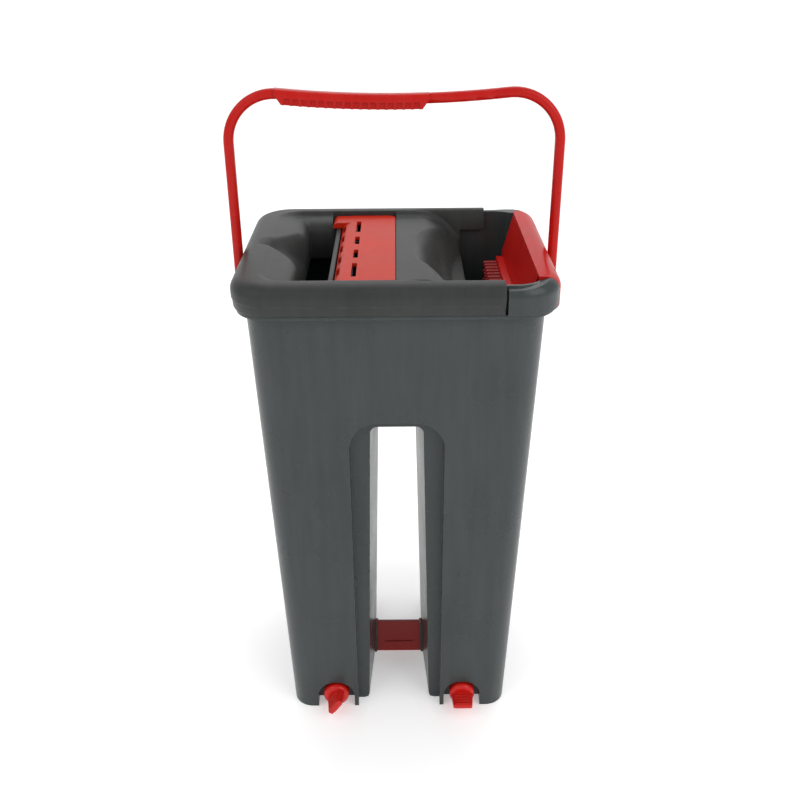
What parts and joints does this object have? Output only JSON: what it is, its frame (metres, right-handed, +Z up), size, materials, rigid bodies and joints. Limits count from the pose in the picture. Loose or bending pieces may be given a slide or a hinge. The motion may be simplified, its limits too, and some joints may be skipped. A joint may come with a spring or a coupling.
{
  "type": "flat-mop bucket",
  "caption": "Twin-chamber bucket on hollow legs for washing and wringing a flat mop: drying slot with wringer panel, washing opening with brush, bail handle and drain plugs.",
  "frame": {"origin": "on the floor under the middle of the bucket", "axes": "+X to the washing side, +Y to the back, +Z up; the drain plugs face -Y"},
  "size_m": [0.251, 0.202, 0.5184],
  "materials": {
    "bucket_grey": "satin moulded polypropylene, grey",
    "cover_grey": "satin moulded polypropylene, dark grey",
    "handle_red": "semi-gloss moulded polypropylene, red",
    "panel_red": "semi-gloss moulded polypropylene, red",
    "brush_red": "semi-gloss moulded polypropylene, red",
    "bristle_red": "semi-gloss nylon, red",
    "plug_red": "semi-gloss moulded polypropylene, red",
    "tie_red": "semi-gloss moulded polypropylene, dark red",
    "soft_lip": "soft elastomer",
    "seal_rubber": "soft elastomer",
    "screw_steel": "zinc-plated steel"
  },
  "bodies": {
    "bucket_body": {"bucket": "bucket_grey", "leg_tie": "tie_red"},
    "cover_body": {"cover": "cover_grey", "wringer_panel": "panel_red", "wringer_screws": "screw_steel", "wiping_strip": "soft_lip"},
    "brush_body": {"brush_holder": "brush_red", "brush_plate": "brush_red", "brush_screws": "screw_steel", "brush_tufts_1": "bristle_red", "brush_tufts_2": "bristle_red", "brush_tufts_3": "bristle_red", "brush_tufts_4": "bristle_red"},
    "handle_body": {"carry_handle": "handle_red"},
    "plug_left_body": {"drain_plug_left": "plug_red", "drain_seal_left": "seal_rubber"},
    "plug_right_body": {"drain_plug_right": "plug_red", "drain_seal_right": "seal_rubber"}
  },
  "joints": [
    {"name": "handle_swing", "type": "hinge", "parent": "bucket_body", "child": "handle_body", "pos_m": [0, 0, 0.366], "axis": [1, 0, 0], "range_deg": [-130, 130]},
    {"name": "cover_lift", "type": "slide", "parent": "bucket_body", "child": "cover_body", "axis": [0, 0, 1], "range_m": [0, 0.075]},
    {"name": "brush_lift", "type": "slide", "parent": "bucket_body", "child": "brush_body", "axis": [0, 0, 1], "range_m": [0, 0.07]},
    {"name": "plug_left_turn", "type": "hinge", "parent": "bucket_body", "child": "plug_left_body", "pos_m": [-0.0555, -0.065, 0.0145], "axis": [0, 1, 0], "range_deg": [-35, 55]},
    {"name": "plug_right_turn", "type": "hinge", "parent": "bucket_body", "child": "plug_right_body", "pos_m": [0.0555, -0.065, 0.0145], "axis": [0, 1, 0], "range_deg": [0, 90]}
  ]
}
